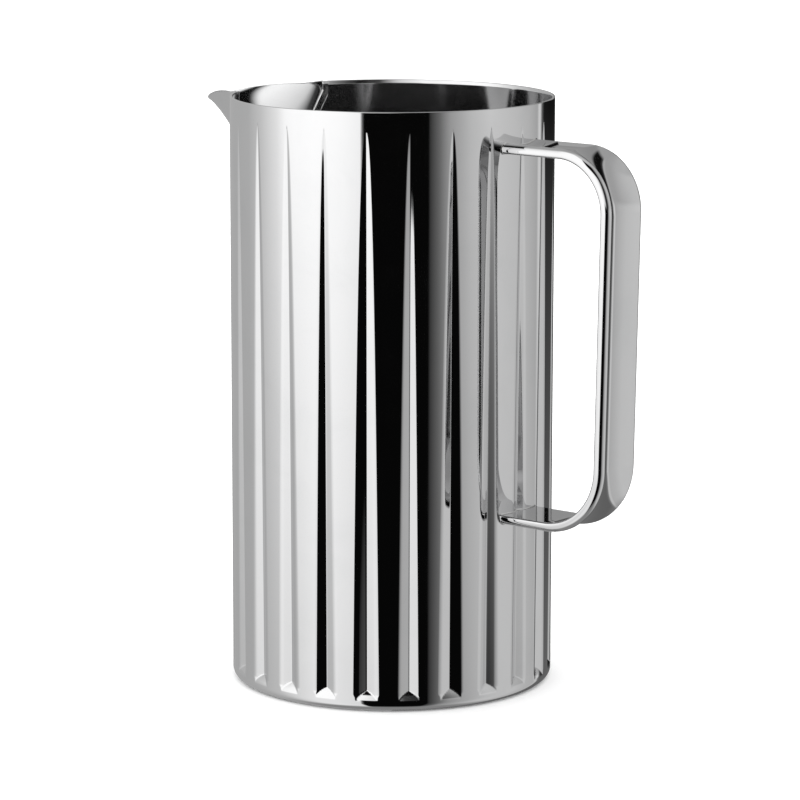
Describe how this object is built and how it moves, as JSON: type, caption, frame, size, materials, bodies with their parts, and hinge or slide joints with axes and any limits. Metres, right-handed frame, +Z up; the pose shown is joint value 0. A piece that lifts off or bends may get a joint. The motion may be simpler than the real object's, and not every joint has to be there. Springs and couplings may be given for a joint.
{
  "type": "water pitcher",
  "caption": "Tall straight-sided metal water pitcher with vertical V flutes, a pressed spout at the rim and a flat strap handle opposite.",
  "frame": {"origin": "middle of the round underside, on the axis of the cylinder, where the pitcher meets the table", "axes": "+Z up along the axis of the body, +X towards the handle, -X towards the spout"},
  "size_m": [0.1868, 0.113, 0.206],
  "materials": {
    "polished_sheet": "mirror polished sheet metal",
    "satin_base": "satin, spun in circles",
    "weld_metal": "weld bead, brushed back and lightly polished",
    "polished_spout": "mirror polished sheet metal",
    "polished_strap": "mirror polished flat bar"
  },
  "bodies": {
    "root": {"body_shell": "polished_sheet", "base_disc": "satin_base", "base_weld_ring": "weld_metal", "spout": "polished_spout", "spout_weld_seam": "weld_metal", "handle_strap": "polished_strap", "handle_weld_upper": "weld_metal", "handle_weld_lower": "weld_metal"}
  },
  "joints": []
}
